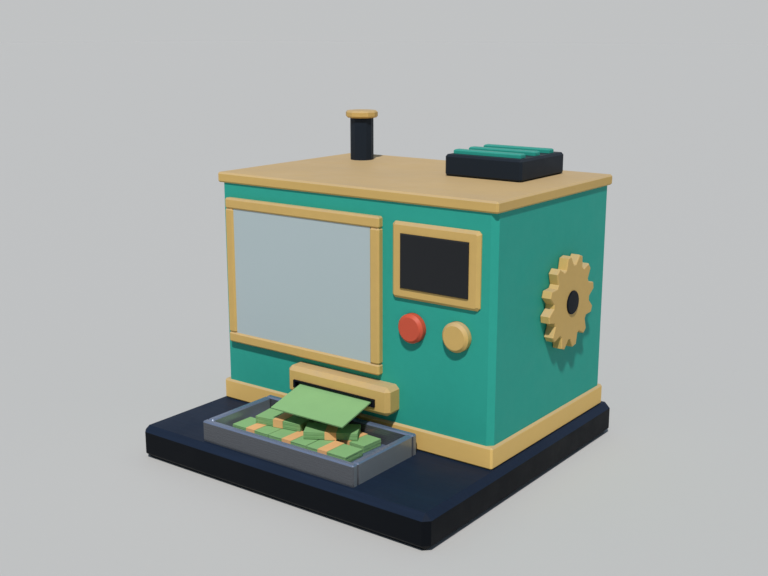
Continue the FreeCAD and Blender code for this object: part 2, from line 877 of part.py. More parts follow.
def make_output():
    """Hollow block on the cabinet's front, the liner of its slot, and the slip."""
    low = f"({FLOOR} + dim.block_level)"
    high = f"({low} + dim.block_height)"
    shape = block("block_blank", centred("0", "dim.block_width"), (BLOCK_FRONT, FRONT), (low, high))
    bevel(shape, "dim.block_bevel", side_edges(shape, "-y") + long_edges(shape, "y"))
    room = box(
        "block_room",
        centred("0", "dim.block_width", "dim.block_wall"),
        (f"{BLOCK_FRONT} + dim.block_front_wall", FRONT),
        (f"{low} + dim.block_wall", f"{high} - dim.block_wall"),
    )
    depth = (f"{BLOCK_FRONT} - dim.liner_proud", f"{BLOCK_FRONT} + dim.block_front_wall")
    seat = box(
        "liner_seat",
        centred(SLOT_X, "dim.liner_width", "(-dim.fit_clearance)"),
        depth,
        centred(SLOT, "dim.liner_height", "(-dim.fit_clearance)"),
    )
    piece(cut("output_block", shape, [room, seat]))
    liner = box(
        "liner_outside", centred(SLOT_X, "dim.liner_width"), depth, centred(SLOT, "dim.liner_height")
    )
    slot = box(
        "liner_slot",
        centred(SLOT_X, "dim.liner_width", "dim.liner_side_wall"),
        depth,
        centred(SLOT, "dim.liner_height", "dim.liner_wall"),
    )
    piece(cut("slot_liner", liner, [slot]))
    note = doc.addObject("Part::Box", "note_sheet")
    note.Placement = Placement(Vector(), Rotation(AXES["x"], size("note_slope")))
    bind(note, Length="dim.note_width", Width="dim.note_length", Height="dim.note_thickness")
    tip = f"({FRONT} - dim.note_reach)"
    half = "(dim.note_thickness / 2)"
    place(
        note,
        "-dim.note_shift - dim.note_width / 2",
        f"{tip} + {half} * sin(dim.note_slope)",
        f"{slip_height(tip)} - {half} * cos(dim.note_slope)",
    )
    piece(note)


# Side gear, its hub and shaft


def make_side_gear():
    """Large toothed wheel outside the cabinet, turned by hand."""
    back = f"({SIDE} + dim.gear_gap)"
    front = f"({back} + dim.gear_thickness)"
    gear = doc.addObject("PartDesign::Body", "side_gear")
    disc_sketch = sketch_on(gear, "YZ_Plane", back)
    disc_sketch.addGeometry(Part.Circle(Vector(), AXES["z"], size("gear_root_radius")), False)
    disc_sketch.addConstraint(Sketcher.Constraint("Coincident", 0, 3, -1, 1))
    radius = disc_sketch.addConstraint(Sketcher.Constraint("Radius", 0, size("gear_root_radius")))
    disc_sketch.setExpression(f"Constraints[{radius}]", "dim.gear_root_radius")
    disc = gear.newObject("PartDesign::Pad", "side_gear_disc")
    disc.Profile = disc_sketch
    bind(disc, Length="dim.gear_thickness")
    tooth_sketch = sketch_on(gear, "YZ_Plane", back)
    draw_outline(
        tooth_sketch,
        [
            ("dim.tooth_foot_reach", "-dim.tooth_foot_width / 2"),
            ("dim.tooth_tip_reach", "-dim.tooth_tip_width / 2"),
            ("dim.tooth_tip_reach", "dim.tooth_tip_width / 2"),
            ("dim.tooth_foot_reach", "dim.tooth_foot_width / 2"),
        ],
    )
    tooth = gear.newObject("PartDesign::Pad", "side_gear_tooth")
    tooth.Profile = tooth_sketch
    bind(tooth, Length="dim.gear_thickness")
    doc.recompute()
    ring = gear.newObject("PartDesign::PolarPattern", "side_gear_teeth")
    ring.Originals = [tooth]
    ring.Axis = (tooth_sketch, ["N_Axis"])
    ring.Angle = 360
    bind(ring, Occurrences="dim.gear_teeth")
    gear.Tip = ring
    bevel(gear, "dim.gear_bevel", side_edges(gear, "+x -x"))
    bore_sketch = sketch_on(gear, "YZ_Plane", back)
    bore_sketch.addGeometry(Part.Circle(Vector(), AXES["z"], size("drive_shaft_radius")), False)
    bore_sketch.addConstraint(Sketcher.Constraint("Coincident", 0, 3, -1, 1))
    radius = bore_sketch.addConstraint(Sketcher.Constraint("Radius", 0, size("drive_shaft_radius")))
    bore_sketch.setExpression(f"Constraints[{radius}]", "dim.drive_shaft_radius + dim.fit_clearance")
    bore = gear.newObject("PartDesign::Pocket", "side_gear_bore")
    bore.Profile = bore_sketch
    bore.Reversed = True
    bind(bore, Length="dim.gear_thickness")
    gear.Tip = bore
    gear.Placement = Placement(Vector(), Rotation(AXES["x"], size("gear_rest_angle")))
    place(gear, "0", SHAFT_Y, SHAFT_Z)
    piece(gear)
    end = f"({front} + dim.hub_proud)"
    hub = turned(
        "gear_hub",
        "x",
        [
            (front, "0"),
            (front, "dim.hub_radius"),
            (f"{end} - dim.hub_bevel", "dim.hub_radius"),
            (end, "dim.hub_radius - dim.hub_bevel"),
            (end, "0"),
        ],
    )
    place(hub, "0", SHAFT_Y, SHAFT_Z)
    piece(hub)
    inner_end = f"({FRAME_INSIDE} - dim.shaft_overhang)"
    at = {"y": SHAFT_Y, "z": SHAFT_Z}
    piece(rod("drive_shaft", "x", (inner_end, front), "dim.drive_shaft_radius", **at))
    span = (f"{SIDE} - dim.wall - dim.shaft_bush_reach", SIDE)
    piece(bearing("shaft_bush", span, "drive_shaft", "dim.shaft_bush_side", at))


def bearing(name, span, shaft, side, at):
    """Square bush with a bore for a shaft along X."""
    outside = box(f"{name}_outside", span, centred(at["y"], side), centred(at["z"], side))
    loose = f"dim.{shaft}_radius + dim.running_clearance"
    return cut(name, outside, [rod(f"{name}_bore", "x", span, loose, **at)])


# Rollers and the frame that carries them


def roller_axis(name, side):
    """Depth and height of a roller's axis: side is 1 above the slip and -1 below it."""
    reach = f"(dim.{name}_roller_radius + dim.nip_gap + dim.note_thickness / 2)"
    y = f"({NIP_Y} - {side} * {reach} * sin(dim.note_slope))"
    z = f"({slip_height(NIP_Y)} + {side} * {reach} * cos(dim.note_slope))"
    return {"y": y, "z": z}


FEED = roller_axis("feed", 1)
PINCH = roller_axis("pinch", -1)


def make_rollers():
    """Driven roller above the slip and pinch roller below it, with their bushes."""
    half = "(dim.roller_length / 2)"
    shaft = "dim.roller_shaft_radius"
    left_end = f"-({FRAME_OUTSIDE} + dim.shaft_overhang)"
    ends = {"feed": f"{TRAIN_END} + dim.shaft_overhang", "pinch": f"{FRAME_OUTSIDE} + dim.shaft_overhang"}
    bushes = []
    for name, axis in (("feed", FEED), ("pinch", PINCH)):
        piece(rod(f"{name}_roller_shaft", "x", (left_end, ends[name]), shaft, **axis))
        radius = f"dim.{name}_roller_radius"
        cover = rod(f"{name}_sleeve_outside", "x", (f"-{half}", half), radius, **axis)
        bore = rod(f"{name}_sleeve_bore", "x", (f"-{half}", half), f"{shaft} + dim.fit_clearance", **axis)
        piece(cut(f"{name}_roller_sleeve", cover, [bore]))
        reach = f"({FRAME_INSIDE} - dim.roller_bush_reach)"
        spans = {"left": (f"-{FRAME_OUTSIDE}", f"-{reach}"), "right": (reach, FRAME_OUTSIDE)}
        for hand, span in spans.items():
            bushes.append(
                bearing(f"{name}_bush_{hand}", span, "roller_shaft", "dim.roller_bush_side", axis)
            )
    piece(group("roller_bushes", bushes))


def make_print_frame(idler):
    """Side plates, with a foot each, that carry the rollers and the gear train."""
    edge = "dim.frame_edge"
    near = f"({FEED['y']} - {edge})"
    far = f"({SHAFT_Y} + {edge})"
    brow = f"({FEED['z']} + {edge})"
    outlines = {
        "left": [
            (near, FLOOR),
            (far, FLOOR),
            (far, f"{FLOOR} + dim.frame_left_height"),
            (near, f"{FLOOR} + dim.frame_left_height"),
        ],
        "right": [
            (near, FLOOR),
            (far, FLOOR),
            (far, f"{SHAFT_Z} + {edge}"),
            (f"{SHAFT_Y} - {edge}", f"{SHAFT_Z} + {edge}"),
            (f"{FEED['y']} + {edge}", brow),
            (near, brow),
        ],
    }
    plate_span = {"left": f"-{FRAME_OUTSIDE}", "right": FRAME_INSIDE}
    foot_span = {
        "left": (f"-({FRAME_OUTSIDE} + dim.frame_foot_width)", f"-{FRAME_OUTSIDE}"),
        "right": (FRAME_OUTSIDE, f"{FRAME_OUTSIDE} + dim.frame_foot_width"),
    }
    inside_out = {
        "left": (f"-{FRAME_OUTSIDE}", f"-{FRAME_INSIDE}"),
        "right": (FRAME_INSIDE, FRAME_OUTSIDE),
    }
    for hand, outline in outlines.items():
        plate = padded(f"frame_plate_{hand}", "YZ_Plane", outline, plate_span[hand], "dim.frame_thickness")
        height = (FLOOR, f"{FLOOR} + dim.frame_thickness")
        foot = box(f"frame_foot_{hand}", foot_span[hand], (near, far), height)
        span = inside_out[hand]
        holes = []
        for name, axis in (("feed", FEED), ("pinch", PINCH)):
            y, z = (
                centred(axis[letter], "dim.roller_bush_side", "(-dim.fit_clearance)") for letter in "yz"
            )
            holes.append(box(f"frame_{name}_hole_{hand}", span, y, z))
        if hand == "right":
            loose = "dim.drive_shaft_radius + dim.running_clearance"
            snug = "dim.idler_axle_radius + dim.fit_clearance"
            holes.append(rod("frame_shaft_hole", "x", span, loose, y=SHAFT_Y, z=SHAFT_Z))
            holes.append(rod("frame_idler_hole", "x", span, snug, **idler))
        piece(cut(f"print_frame_{hand}", fuse(f"frame_outside_{hand}", [plate, foot]), holes))


def make_chute():
    """Channel that carries the slip behind the rollers."""
    half = "(dim.frame_span / 2 - dim.chute_side_gap)"
    plate = "dim.chute_thickness"
    top = "(-dim.note_thickness / 2 - dim.chute_clearance)"
    lip = f"({top} + dim.chute_lip_height)"
    chute = padded(
        "note_chute",
        "XZ_Plane",
        [
            (f"-{half}", f"{top} - {plate}"),
            (half, f"{top} - {plate}"),
            (half, lip),
            (f"{half} - {plate}", lip),
            (f"{half} - {plate}", top),
            (f"-({half} - {plate})", top),
            (f"-({half} - {plate})", lip),
            (f"-{half}", lip),
        ],
        "0",
        "dim.chute_length",
        reverse=True,
    )
    start = f"({NIP_Y} + dim.chute_start)"
    chute.Placement = Placement(Vector(), Rotation(AXES["x"], size("note_slope")))
    place(chute, "0", start, slip_height(start))
    piece(chute)


# Gear train


def gear_outline(teeth):
    """Corners of an involute gear about the origin, in the YZ plane, with a tooth on +Y."""
    module = size("gear_module")
    pitch = module * teeth / 2
    base = pitch * math.cos(math.radians(size("pressure_angle")))
    tip = pitch + module
    root = pitch - 1.25 * module
    slope = math.radians(size("pressure_angle"))
    half_tooth = math.pi / (2 * teeth) - size("gear_backlash") / (2 * pitch) + math.tan(slope) - slope

    def point(radius, angle):
        return Vector(0, radius * math.cos(angle), radius * math.sin(angle))

    def flank_angle(radius):
        """Half the tooth's angle at a radius on or outside the base circle."""
        roll = math.acos(min(1, base / radius))
        return half_tooth - (math.tan(roll) - roll)

    start = max(root, base)
    flank_radii = [root, (start + tip) / 2, tip]
    corners = []
    for number in range(teeth):
        middle = 2 * math.pi * number / teeth
        rising = [point(radius, middle - flank_angle(max(radius, start))) for radius in flank_radii]
        falling = [point(radius, middle + flank_angle(max(radius, start))) for radius in flank_radii]
        for corner in rising + falling[::-1]:
            if not corners or (corner - corners[-1]).Length > SAME_PLACE:
                corners.append(corner)
    return corners + corners[:1]


def train_gear(name, bore, centre, rest_angle):
    """One gear of the train, set about its axis at its rest angle."""
    width = size("train_gear_thickness")
    teeth = int(size(f"{name}_teeth"))
    face = Part.Face(Part.makePolygon(gear_outline(teeth)))
    hole = Part.makeCylinder(bore, width, Vector(), AXES["x"])
    item = doc.addObject("Part::Feature", name)
    item.Shape = face.extrude(AXES["x"] * width).cut(hole)
    item.Placement = Placement(Vector(0, centre.y, centre.z), Rotation(AXES["x"], math.degrees(rest_angle)))
    bind(item, Placement__Base__x=TRAIN_X)
    return piece(item)


def meshing_angle(teeth, rest_angle, mate_teeth, direction):
    """Rest angle of a gear that meshes with one whose centre lies back along a direction."""
    mate_phase = (rest_angle - direction) * teeth / (2 * math.pi)
    return direction + math.pi + (0.5 - mate_phase) * 2 * math.pi / mate_teeth


def axis_point(feature):
    """Where a piece's axis crosses the YZ plane."""
    base = feature.Placement.Base
    return Vector(0, base.y, base.z)


def make_gear_train():
    """Gears from the side gear's shaft, over an idler, to the feed roller."""
    doc.recompute()
    drive = axis_point(doc.getObject("drive_shaft"))
    roller = axis_point(doc.getObject("feed_roller_shaft"))
    module = size("gear_module")
    drive_teeth = int(size("drive_gear_teeth"))
    idler_teeth = int(size("idler_gear_teeth"))
    roller_teeth = int(size("roller_gear_teeth"))
    first = module * (drive_teeth + idler_teeth) / 2
    second = module * (idler_teeth + roller_teeth) / 2
    line = roller - drive
    span = line.Length
    corner = math.acos((first**2 + span**2 - second**2) / (2 * first * span))
    heading = math.atan2(line.z, line.y) + corner
    idler = drive + Vector(0, first * math.cos(heading), first * math.sin(heading))
    onward = roller - idler
    onward_heading = math.atan2(onward.z, onward.y)
    idler_angle = meshing_angle(drive_teeth, 0, idler_teeth, heading)
    roller_angle = meshing_angle(idler_teeth, idler_angle, roller_teeth, onward_heading)
    running = size("running_clearance")
    snug = size("fit_clearance")
    train_gear("drive_gear", size("drive_shaft_radius") + snug, drive, 0)
    train_gear("idler_gear", size("idler_axle_radius") + running, idler, idler_angle)
    train_gear("roller_gear", size("roller_shaft_radius") + snug, roller, roller_angle)
    centre = {letter: f"(idler_gear.Placement.Base.{letter} / (1 mm))" for letter in "yz"}
    play = "dim.gear_side_play"
    end = f"({TRAIN_END} + {play} + dim.idler_head_thickness)"
    spans = {
        "collar": (FRAME_OUTSIDE, f"{TRAIN_X} - {play}"),
        "head": (f"{TRAIN_END} + {play}", end),
    }
    wide = "dim.idler_collar_side"
    parts = [rod("idler_pin", "x", (FRAME_INSIDE, end), "dim.idler_axle_radius", **centre)]
    for name, span in spans.items():
        y, z = (centred(centre[letter], wide) for letter in "yz")
        parts.append(box(f"idler_{name}", span, y, z))
    piece(fuse("idler_axle", parts))
    return centre


# Tray


def column_middle(column):
    """Middle along X of a column of bundles, counted from the left."""
    first = "(dim.tray_wall - dim.tray_left_reach + dim.tray_left_room + dim.bundle_length / 2)"
    return f"({first} + {column} * (dim.bundle_length + dim.bundle_column_gap))"


def row_middle(row):
    """Middle along Y of a row of bundles, counted from the front."""
    room = "dim.tray_front_gap + dim.tray_wall + dim.tray_front_room"
    first = f"({room} - {BASE_EDGE} + dim.bundle_width / 2)"
    return f"({first} + {row} * (dim.bundle_width + dim.bundle_row_gap))"


def make_tray():
    """Loose tray of four walls round a floor, on the base plate before the cabinet."""
    wall = "dim.tray_wall"
    left = "(-dim.tray_left_reach)"
    right = f"({column_middle(COLUMNS - 1)} + dim.bundle_length / 2 + dim.tray_right_room + {wall})"
    near = f"(dim.tray_front_gap - {BASE_EDGE})"
    far = f"({row_middle(ROWS - 1)} + dim.bundle_width / 2 + dim.tray_back_room + {wall})"
    height = (BASE_TOP, f"{BASE_TOP} + dim.tray_height")
    between = (f"{near} + {wall}", f"{far} - {wall}")
    walls = {
        "front": ((left, right), (near, between[0])),
        "back": ((left, right), (between[1], far)),
        "left": ((left, f"{left} + {wall}"), between),
        "right": ((f"{right} - {wall}", right), between),
    }
    for name, (x, y) in walls.items():
        item = block(f"tray_{name}_wall", x, y, height)
        piece(bevel(item, "dim.tray_bevel", side_edges(item, "+z") + long_edges(item, "z")))
    piece(
        box(
            "tray_floor",
            (f"{left} + {wall}", f"{right} - {wall}"),
            between,
            (BASE_TOP, f"{BASE_TOP} + dim.tray_floor_thickness"),
        )
    )


def make_bundles():
    """Banded bundles of slips, in two layers in the tray."""
    layer_height = "(dim.bundle_height + 2 * dim.band_thickness)"
    first = f"({BASE_TOP} + dim.tray_floor_thickness)"
    band = "dim.band_thickness"
    bands = []
    for name, (column, row, layer, *_) in BUNDLES.items():
        bundle = block(
            name,
            centred("0", LENGTHS[layer]),
            centred("0", "dim.bundle_width"),
            (band, f"{band} + dim.bundle_height"),
        )
        bevel(bundle, "dim.bundle_bevel", side_edges(bundle, "+x -x +y -y"))
        strap_x = centred(f"dim.{name}_band", "dim.band_width")
        strap_y = centred("0", "dim.bundle_width", f"(-{band})")
        outside = box(f"{name}_band_outside", strap_x, strap_y, ("0", layer_height))
        inside = box(
            f"{name}_band_inside",
            strap_x,
            centred("0", "dim.bundle_width"),
            (band, f"{band} + dim.bundle_height"),
        )
        strap = cut(f"{name}_strap", outside, [inside])
        for item in (bundle, strap):
            item.Placement = Placement(Vector(), Rotation(AXES["z"], size(f"{name}_turn")))
            place(
                item,
                f"{column_middle(column)} + dim.{name}_slip_x",
                f"{row_middle(row)} + dim.{name}_slip_y",
                f"{first} + {layer} * {layer_height}",
            )
        piece(bundle)
        bands.append(strap)
    piece(group("bundle_bands", bands))


make_base()
make_cabinet()
make_roof()
make_window()
make_screen()
make_buttons()
make_output()
make_side_gear()
make_rollers()
idler_centre = make_gear_train()
make_print_frame(idler_centre)
make_chute()
make_tray()
make_bundles()
doc.recompute()

faults = [item.Name for item in doc.Objects if "Invalid" in item.State or "Error" in item.State]
for item in PIECES:
    if item.Shape.isNull() or not item.Shape.isValid() or not item.Shape.Solids:
        faults.append(item.Label)
if faults:
    raise RuntimeError("these objects did not build: " + ", ".join(faults))
os.makedirs("parts", exist_ok=True)
for item in PIECES:
    item.Shape.exportStep(f"parts/{item.Label}.step")
print(len(PIECES), "pieces written")
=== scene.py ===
import json
import math
import random

import bmesh
import bpy
from mathutils import Matrix, Vector


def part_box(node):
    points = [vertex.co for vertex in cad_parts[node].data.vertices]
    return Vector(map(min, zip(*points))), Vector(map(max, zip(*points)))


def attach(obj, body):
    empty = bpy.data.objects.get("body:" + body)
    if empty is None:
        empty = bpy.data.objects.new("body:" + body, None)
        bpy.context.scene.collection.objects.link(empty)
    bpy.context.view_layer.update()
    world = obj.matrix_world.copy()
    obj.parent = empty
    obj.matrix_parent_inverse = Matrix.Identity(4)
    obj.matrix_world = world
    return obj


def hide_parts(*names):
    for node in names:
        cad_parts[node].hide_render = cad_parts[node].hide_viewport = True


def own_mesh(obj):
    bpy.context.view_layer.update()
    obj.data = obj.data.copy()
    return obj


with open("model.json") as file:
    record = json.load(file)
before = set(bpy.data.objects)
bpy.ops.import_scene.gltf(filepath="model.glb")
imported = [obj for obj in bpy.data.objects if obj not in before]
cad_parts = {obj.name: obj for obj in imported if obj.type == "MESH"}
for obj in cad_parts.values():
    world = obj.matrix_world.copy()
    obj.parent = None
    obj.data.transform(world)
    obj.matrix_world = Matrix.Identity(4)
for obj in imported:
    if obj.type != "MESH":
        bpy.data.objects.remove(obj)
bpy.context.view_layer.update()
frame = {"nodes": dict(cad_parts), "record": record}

# Camera, in metres and millimetres of lens
CAMERA_PLACE = (0.5376, -0.72, 0.36)
CAMERA_TARGET = (0.0, 0.0, 0.1436)
CAMERA_LENS = 50
SENSOR_WIDTH = 36

# Key lamp: the way its light travels, and its size as seen from the object, in degrees
KEY_TRAVEL = (-0.55, 1.0, -1.6)
KEY_COLOUR = (1.0, 0.985, 0.95)
KEY_STRENGTH = 3.0
KEY_ANGLE = 3
KEY_DISTANCE = 3

# Light from all round, backdrop and floor
WORLD_LIGHT = (0.56, 0.76, 1.0)
WORLD_STRENGTH = 0.24
BACKGROUND = (0.53, 0.54, 0.545)
FLOOR_COLOUR = (0.57, 0.56, 0.55)
FLOOR_ROUGHNESS = 0.8
FLOOR_SPECULAR = 0.2
FLOOR_SIZE = 60

# Bundles of sheets: each one's turn in degrees and its length, in metres
BUNDLES = {
    "bundle_front_left": (0, 0.0404),
    "bundle_front_middle": (0, 0.0404),
    "bundle_front_right": (0, 0.0404),
    "bundle_back_right": (-3.5, 0.0404),
    "bundle_back_left": (0, 0.0404),
    "bundle_top_left": (8.7, 0.0445),
    "bundle_top_middle": (31, 0.0445),
}
BUNDLE_WIDTH = 0.0218
SHEETS = 9
SHEET_GAP = 0.00007
SHEET_SLIP = 0.0003
SHEET_SEED = 7

# Springs behind the buttons, in metres
COIL_RADIUS = 0.005
WIRE_RADIUS = 0.0005
WIRE_SIDES = 8
SPRING_TURNS = 6
TURN_STEPS = 24

# Colours that several finishes share, as sRGB values of 0 to 255; the lighter, bluer teal, tan and navy
# for faces that look up are painted sky light
TEAL = (49, 163, 146)
SKY_LIT_TEAL = (66, 149, 138)
TAN = (209, 173, 103)
SKY_LIT_TAN = (192, 166, 128)
NAVY = (8, 12, 18)
SKY_LIT_NAVY = (27, 40, 61)
DARK_NAVY = (27, 36, 47)

# Height between the plinth and the roof, in metres: the plinth below it is painted lighter, painted light
# against the shade it gets beside the dark base
PLINTH_LIFT_HEIGHT = 0.1

# Cosine between a face and its rounded edge, where wear starts and where it is full
WEAR_START = 0.995
WEAR_FULL = 0.9

# Part of a noise's range that carries the pattern
NOISE_LOW = 0.3
NOISE_HIGH = 0.7

COAT_ROUGHNESS = 0.2
LOWEST_ROUGHNESS = 0.02
EVEN = (1, 1, 1)


def linear(colour):
    """Linear RGBA of an sRGB colour of 0 to 255."""
    channels = [value / 255 for value in colour]
    return tuple(c / 12.92 if c <= 0.04045 else ((c + 0.055) / 1.055) ** 2.4 for c in channels) + (1.0,)


def shade(colour, factor):
    """An sRGB colour made lighter or darker."""
    return tuple(min(255, channel * factor) for channel in colour)


class Finish:
    """Node material whose colour, roughness and bump come from a few small helpers."""

    def __init__(self, name, colour, roughness, metallic=0.0, coat=0.0, specular=0.5):
        self.material = bpy.data.materials.new(name)
        self.material.use_nodes = True
        self.tree = self.material.node_tree
        self.shader = self.tree.nodes["Principled BSDF"]
        self.place = self.node("ShaderNodeTexCoord").outputs["Object"]
        self.base = linear(colour)
        self.roughness = roughness
        self.colour_socket = None
        self.normal_socket = None
        self.shader.inputs["Base Color"].default_value = self.base
        self.shader.inputs["Roughness"].default_value = roughness
        self.shader.inputs["Metallic"].default_value = metallic
        self.shader.inputs["Coat Weight"].default_value = coat
        self.shader.inputs["Coat Roughness"].default_value = COAT_ROUGHNESS
        self.shader.inputs["Specular IOR Level"].default_value = specular

    def node(self, kind, **settings):
        """New node with its settings."""
        node = self.tree.nodes.new(kind)
        for key, value in settings.items():
            setattr(node, key, value)
        return node

    def link(self, source, target):
        """Lead an output to an input."""
        self.tree.links.new(source, target)

    def noise(self, scale, detail=3.0, roughness=0.5, stretch=EVEN):
        """Noise pattern, which may be stretched along each axis."""
        mapping = self.node("ShaderNodeMapping")
        mapping.inputs["Scale"].default_value = stretch
        self.link(self.place, mapping.inputs["Vector"])
        node = self.node("ShaderNodeTexNoise")
        node.inputs["Scale"].default_value = scale
        node.inputs["Detail"].default_value = detail
        node.inputs["Roughness"].default_value = roughness
        self.link(mapping.outputs["Vector"], node.inputs["Vector"])
        return node.outputs["Fac"]

    def ramp(self, value, start, end, low=0.0, high=1.0):
        """A value that goes from low to high between a start and an end."""
        node = self.node("ShaderNodeMapRange")
        node.inputs["From Min"].default_value = start
        node.inputs["From Max"].default_value = end
        node.inputs["To Min"].default_value = low
        node.inputs["To Max"].default_value = high
        self.link(value, node.inputs["Value"])
        return node.outputs["Result"]

    def product(self, value, factor):
        """A value times another socket, or times a number."""
        node = self.node("ShaderNodeMath", operation="MULTIPLY")
        self.link(value, node.inputs[0])
        if isinstance(factor, float):
            node.inputs[1].default_value = factor
        else:
            self.link(factor, node.inputs[1])
        return node.outputs["Value"]

    def part(self, vector, letter):
        """One component of a vector."""
        parts = self.node("ShaderNodeSeparateXYZ")
        self.link(vector, parts.inputs["Vector"])
        return parts.outputs[letter]

    def facing(self, letter, start=0.3, end=0.7):
        """Mask of the surfaces that face along the positive side of an axis."""
        normal = self.node("ShaderNodeNewGeometry").outputs["Normal"]
        return self.ramp(self.part(normal, letter), start, end)

    def upright(self, start=0.5, end=0.2):
        """Mask of the surfaces that stand upright."""
        normal = self.node("ShaderNodeNewGeometry").outputs["Normal"]
        level = self.node("ShaderNodeMath", operation="ABSOLUTE")
        self.link(self.part(normal, "Z"), level.inputs[0])
        return self.ramp(level.outputs["Value"], start, end)

    def above(self, height):
        """Mask of what stands above a height, in metres."""
        step = self.node("ShaderNodeMath", operation="GREATER_THAN")
        step.inputs[1].default_value = height
        self.link(self.part(self.place, "Z"), step.inputs[0])
        return step.outputs["Value"]

    def edges(self, width, breakup):
        """Mask that is high along convex edges, broken up by noise."""
        bevel = self.node("ShaderNodeBevel", samples=6)
        bevel.inputs["Radius"].default_value = width
        geometry = self.node("ShaderNodeNewGeometry")
        dot = self.node("ShaderNodeVectorMath", operation="DOT_PRODUCT")
        self.link(bevel.outputs["Normal"], dot.inputs[0])
        self.link(geometry.outputs["Normal"], dot.inputs[1])
        sharp = self.ramp(dot.outputs["Value"], WEAR_START, WEAR_FULL)
        patches = self.noise(breakup, detail=4.0, roughness=0.7)
        return self.product(sharp, self.ramp(patches, NOISE_LOW, NOISE_HIGH))

    def tint(self, mask, colour):
        """Blend the colour so far towards another where the mask is high."""
        node = self.node("ShaderNodeMix", data_type="RGBA")
        if self.colour_socket is None:
            node.inputs["A"].default_value = self.base
        else:
            self.link(self.colour_socket, node.inputs["A"])
        node.inputs["B"].default_value = linear(colour)
        self.link(mask, node.inputs["Factor"])
        self.colour_socket = node.outputs["Result"]
        self.link(self.colour_socket, self.shader.inputs["Base Color"])

    def mottle(self, pattern, strength, colour):
        """Blend towards a colour where a noise pattern is high."""
        self.tint(self.product(self.ramp(pattern, NOISE_LOW, NOISE_HIGH), strength), colour)

    def wear(self, width, breakup, strength, colour):
        """Lighter paint or metal along the edges."""
        self.tint(self.product(self.edges(width, breakup), strength), colour)

    def vary_roughness(self, scale, amount, stretch=EVEN):
        """Roughness that wanders about its value."""
        pattern = self.noise(scale, detail=4.0, roughness=0.6, stretch=stretch)
        low = max(LOWEST_ROUGHNESS, self.roughness - amount)
        wandering = self.ramp(pattern, NOISE_LOW, NOISE_HIGH, low, self.roughness + amount)
        self.link(wandering, self.shader.inputs["Roughness"])

    def bump(self, height, distance):
        """Add relief of a height socket, in metres."""
        node = self.node("ShaderNodeBump")
        node.inputs["Distance"].default_value = distance
        self.link(height, node.inputs["Height"])
        if self.normal_socket is not None:
            self.link(self.normal_socket, node.inputs["Normal"])
        self.normal_socket = node.outputs["Normal"]
        self.link(self.normal_socket, self.shader.inputs["Normal"])


def moulded(name, colour, roughness, specular=0.4, coat=0.0, grain=1.0, top=None):
    """Moulded or sprayed surface: soft mottling, fine orange peel, slightly worn edges and, if a top
    colour is given, painted sky light on faces that look up.
    """
    finish = Finish(name, colour, roughness, coat=coat, specular=specular)
    # Painted sky light: faces that look up are tinted lighter and bluer
    if top is not None:
        finish.tint(finish.facing("Z", start=0.1, end=0.8), top)
    finish.mottle(finish.noise(18), 0.35, shade(colour, 0.96))
    finish.mottle(finish.noise(160, detail=2.0), 0.3, shade(colour, 1.04))
    finish.wear(width=0.0007, breakup=220, strength=0.35, colour=shade(colour, 1.22))
    finish.vary_roughness(45, 0.06)
    finish.bump(finish.noise(900, detail=2.0), 0.00006 * grain)
    finish.bump(finish.noise(4200, detail=2.0), 0.00002 * grain)
    return finish.material


def painted_wood(name, colour, roughness, specular, top, upper=None):
    """Satin paint over board, with faint long grain and brush relief.

    Where it faces up it has painted sky light, a lighter and bluer tone. It may have another shade above
    the plinth; the plinth's lighter paint below is painted light against the shade it gets beside the dark
    base.
    """
    finish = Finish(name, colour, roughness, specular=specular)
    # Painted light: below this height the plinth keeps the lighter base colour, against its shade beside
    # the dark base
    if upper is not None:
        finish.tint(finish.above(PLINTH_LIFT_HEIGHT), upper)
    # Painted sky light: faces that look up are tinted lighter and bluer
    finish.tint(finish.facing("Z"), top)
    grain = finish.noise(60, detail=5.0, roughness=0.6, stretch=(0.35, 6, 6))
    finish.mottle(grain, 0.22, shade(colour, 0.95))
    finish.mottle(finish.noise(11), 0.16, shade(colour, 1.04))
    finish.wear(width=0.0008, breakup=180, strength=0.35, colour=shade(colour, 1.25))
    finish.vary_roughness(30, 0.07)
    finish.bump(grain, 0.00005)
    finish.bump(finish.noise(1500, detail=2.0), 0.00003)
    return finish.material


def metal(name, colour, roughness, stretch, metallic=1.0, rim=None, lit_ends=None, worn=1.5):
    """Brushed metal with fine lines along one axis; faces that look up may carry a painted bluish sky
    reflection, and faces that look along +X a painted highlight.
    """
    finish = Finish(name, colour, roughness, metallic=metallic)
    # Painted highlight: faces that look along +X are painted lighter
    if lit_ends is not None:
        finish.tint(finish.facing("X", start=0.8, end=0.95), lit_ends)
    # Painted sky reflection: faces that look up are painted lighter and bluer
    if rim is not None:
        finish.tint(finish.facing("Z"), rim)
    lines = finish.noise(160, detail=6.0, roughness=0.7, stretch=stretch)
    finish.mottle(lines, 0.4, shade(colour, 0.86))
    finish.wear(width=0.0006, breakup=300, strength=0.5, colour=shade(colour, worn))
    finish.vary_roughness(90, 0.08, stretch)
    finish.bump(lines, 0.00003)
    return finish.material


def paper(name, colour, layered):
    """Tinted paper: fibres, soft mottling and, on the upright sides of a stack, the edges of sheets."""
    finish = Finish(name, colour, roughness=0.78, specular=0.3)
    fibres = finish.noise(1100, detail=4.0, roughness=0.7, stretch=(1, 3, 1))
    finish.mottle(finish.noise(70), 0.4, shade(colour, 0.94))
    finish.mottle(fibres, 0.35, shade(colour, 1.06))
    finish.bump(fibres, 0.00004)
    if layered:
        layers = finish.noise(3200, detail=2.0, roughness=0.6, stretch=(0.02, 0.02, 1))
        stripes = finish.product(finish.ramp(layers, NOISE_LOW, NOISE_HIGH), finish.upright())
        finish.tint(finish.product(stripes, 0.45), shade(colour, 0.72))
        finish.bump(stripes, 0.00008)
    return finish.material


